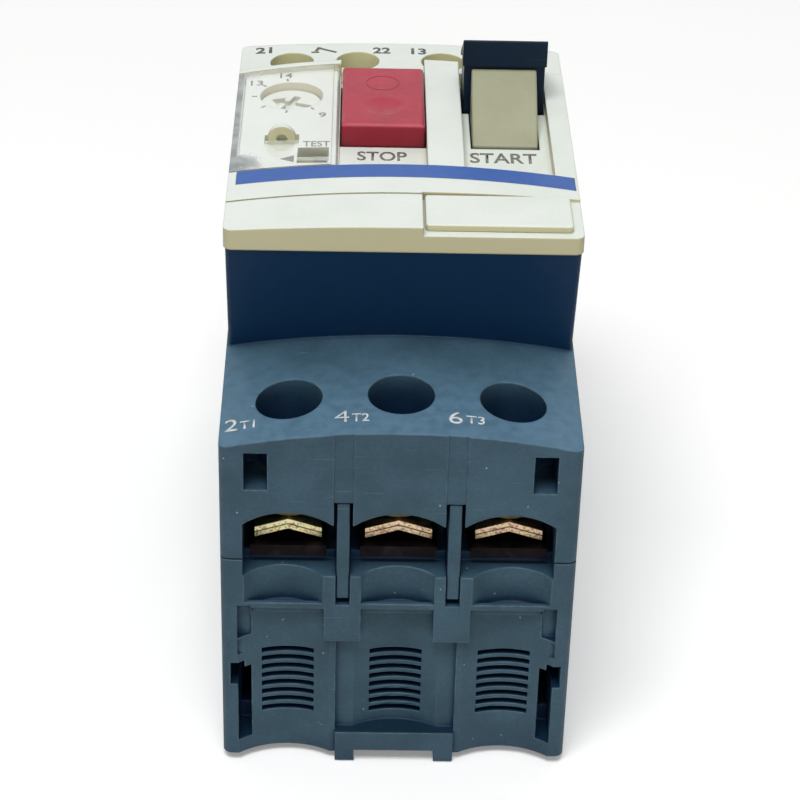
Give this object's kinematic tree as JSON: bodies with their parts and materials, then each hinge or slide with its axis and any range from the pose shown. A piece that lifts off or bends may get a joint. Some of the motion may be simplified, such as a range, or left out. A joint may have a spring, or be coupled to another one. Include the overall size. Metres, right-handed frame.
{
  "type": "motor protection switch",
  "caption": "Rail-mounted push-button motor protection switch with screw terminals at both ends, stop and start buttons, a setting dial under a clear flap and a sprung rail latch.",
  "frame": {"origin": "middle of the back face, on the plane that rests on a panel", "axes": "+X across the poles, +Y towards the line terminals, +Z out of the front face"},
  "size_m": [0.0446, 0.089, 0.0785],
  "materials": {
    "housing_plastic": "moulded dark blue-grey polyamide",
    "cover_plastic": "moulded cream-white thermoplastic",
    "band_film": "blue printed inlay",
    "clear_plastic": "clear polycarbonate",
    "red_plastic": "moulded red thermoplastic",
    "black_plastic": "moulded black thermoplastic",
    "beige_plastic": "moulded beige thermoplastic",
    "inner_plastic": "moulded thermoset",
    "fibre": "vulcanised fibre",
    "zinc_steel": "yellow-passivated zinc plate",
    "plain_steel": "bare steel",
    "copper": "copper alloy"
  },
  "bodies": {
    "housing": {"base_housing": "housing_plastic", "upper_housing": "housing_plastic", "phase_barriers": "housing_plastic", "front_cover": "cover_plastic", "marker_tag": "cover_plastic", "aux_housing": "cover_plastic", "blue_band": "band_film", "arc_holders": "fibre", "stop_spring": "plain_steel", "start_spring": "plain_steel", "rail_latch_spring": "plain_steel", "arc_plates": "plain_steel", "coil_yokes": "plain_steel", "mechanism_plate": "plain_steel", "trip_lever_pin": "plain_steel", "latch_pin": "plain_steel", "load_bars": "copper", "line_bars": "copper", "load_fixed_contacts": "copper", "trip_coils": "copper", "bimetals": "copper", "heaters": "copper", "aux_terminals": "copper"},
    "window": {"dial_window": "clear_plastic"},
    "dial": {"setting_dial": "cover_plastic"},
    "stop": {"stop_button": "red_plastic"},
    "start": {"start_button": "black_plastic", "start_ramp": "beige_plastic"},
    "carrier": {"contact_carrier": "inner_plastic", "moving_contacts": "copper", "contact_springs": "plain_steel"},
    "tripper": {"trip_lever": "beige_plastic"},
    "slide": {"trip_slide": "inner_plastic"},
    "latch": {"latch_lever": "inner_plastic"},
    "rail_clip": {"rail_latch": "housing_plastic"},
    "plunger_1": {"trip_plunger_1": "plain_steel"},
    "load_clamp_1": {"load_screw_1": "zinc_steel", "load_washers_1": "zinc_steel"},
    "line_clamp_1": {"line_screw_1": "zinc_steel", "line_washers_1": "zinc_steel"},
    "plunger_2": {"trip_plunger_2": "plain_steel"},
    "load_clamp_2": {"load_screw_2": "zinc_steel", "load_washers_2": "zinc_steel"},
    "line_clamp_2": {"line_screw_2": "zinc_steel", "line_washers_2": "zinc_steel"},
    "plunger_3": {"trip_plunger_3": "plain_steel"},
    "load_clamp_3": {"load_screw_3": "zinc_steel", "load_washers_3": "zinc_steel"},
    "line_clamp_3": {"line_screw_3": "zinc_steel", "line_washers_3": "zinc_steel"},
    "aux_clamp_1": {"aux_screw_1": "zinc_steel", "aux_washer_1": "zinc_steel"},
    "aux_clamp_2": {"aux_screw_2": "zinc_steel", "aux_washer_2": "zinc_steel"},
    "aux_clamp_3": {"aux_screw_3": "zinc_steel", "aux_washer_3": "zinc_steel"},
    "aux_clamp_4": {"aux_screw_4": "zinc_steel", "aux_washer_4": "zinc_steel"}
  },
  "joints": [
    {"name": "window_hinge", "type": "hinge", "parent": "housing", "child": "window", "pos_m": [-0.00895, 0.005, 0.0692], "axis": [0, 1, 0], "range_deg": [0, 90]},
    {"name": "dial_turn", "type": "hinge", "parent": "housing", "child": "dial", "pos_m": [-0.0148, 0.0118, 0.0669], "axis": [0, 0, 1], "range_deg": [-57, 150]},
    {"name": "stop_press", "type": "slide", "parent": "housing", "child": "stop", "axis": [0, 0, -1], "range_m": [0, 0.003], "stiffness_N_per_m": 900, "deforming": ["stop_spring"]},
    {"name": "latch_release", "type": "hinge", "parent": "housing", "child": "latch", "pos_m": [-0.0022, -0.008, 0.0585], "axis": [-1, 0, 0], "range_deg": [0, 15.5]},
    {"name": "start_press", "type": "slide", "parent": "housing", "child": "start", "axis": [0, 0, -1], "range_m": [0, 0.0046], "stiffness_N_per_m": 1200, "deforming": ["start_spring"]},
    {"name": "carrier_close", "type": "slide", "parent": "housing", "child": "carrier", "axis": [0, 0, -1], "range_m": [0, 0.003]},
    {"name": "trip_turn", "type": "hinge", "parent": "housing", "child": "tripper", "pos_m": [-0.01065, -0.007, 0.05], "axis": [0, -1, 0], "range_deg": [0, 5.7]},
    {"name": "trip_slide_shift", "type": "slide", "parent": "housing", "child": "slide", "axis": [1, 0, 0], "range_m": [0, 0.00244], "stiffness_N_per_m": 300},
    {"name": "rail_latch_pull", "type": "slide", "parent": "housing", "child": "rail_clip", "axis": [0, -1, 0], "range_m": [0, 0.0035], "stiffness_N_per_m": 1500, "deforming": ["rail_latch_spring"]},
    {"name": "plunger_1_drop", "type": "slide", "parent": "housing", "child": "plunger_1", "axis": [0, 0, -1], "range_m": [0, 0.0015], "stiffness_N_per_m": 300},
    {"name": "load_clamp_1_lift", "type": "slide", "parent": "housing", "child": "load_clamp_1", "axis": [0, 0, 1], "range_m": [0, 0.0029]},
    {"name": "line_clamp_1_lift", "type": "slide", "parent": "housing", "child": "line_clamp_1", "axis": [0, 0, 1], "range_m": [0, 0.0029]},
    {"name": "plunger_2_drop", "type": "slide", "parent": "housing", "child": "plunger_2", "axis": [0, 0, -1], "range_m": [0, 0.0015], "stiffness_N_per_m": 300},
    {"name": "load_clamp_2_lift", "type": "slide", "parent": "housing", "child": "load_clamp_2", "axis": [0, 0, 1], "range_m": [0, 0.0029]},
    {"name": "line_clamp_2_lift", "type": "slide", "parent": "housing", "child": "line_clamp_2", "axis": [0, 0, 1], "range_m": [0, 0.0029]},
    {"name": "plunger_3_drop", "type": "slide", "parent": "housing", "child": "plunger_3", "axis": [0, 0, -1], "range_m": [0, 0.0015], "stiffness_N_per_m": 300},
    {"name": "load_clamp_3_lift", "type": "slide", "parent": "housing", "child": "load_clamp_3", "axis": [0, 0, 1], "range_m": [0, 0.0029]},
    {"name": "line_clamp_3_lift", "type": "slide", "parent": "housing", "child": "line_clamp_3", "axis": [0, 0, 1], "range_m": [0, 0.0029]},
    {"name": "aux_clamp_1_lift", "type": "slide", "parent": "housing", "child": "aux_clamp_1", "axis": [0, 0, 1], "range_m": [0, 0.0014]},
    {"name": "aux_clamp_2_lift", "type": "slide", "parent": "housing", "child": "aux_clamp_2", "axis": [0, 0, 1], "range_m": [0, 0.0014]},
    {"name": "aux_clamp_3_lift", "type": "slide", "parent": "housing", "child": "aux_clamp_3", "axis": [0, 0, 1], "range_m": [0, 0.0014]},
    {"name": "aux_clamp_4_lift", "type": "slide", "parent": "housing", "child": "aux_clamp_4", "axis": [0, 0, 1], "range_m": [0, 0.0014]}
  ],
  "couplings": [
    {"joint": "latch_release", "follows": "stop_press", "rad_per_m": 87.27},
    {"joint": "carrier_close", "follows": "start_press", "ratio": 0.64},
    {"joint": "trip_turn", "follows": "trip_slide_shift", "rad_per_m": 40.65}
  ]
}
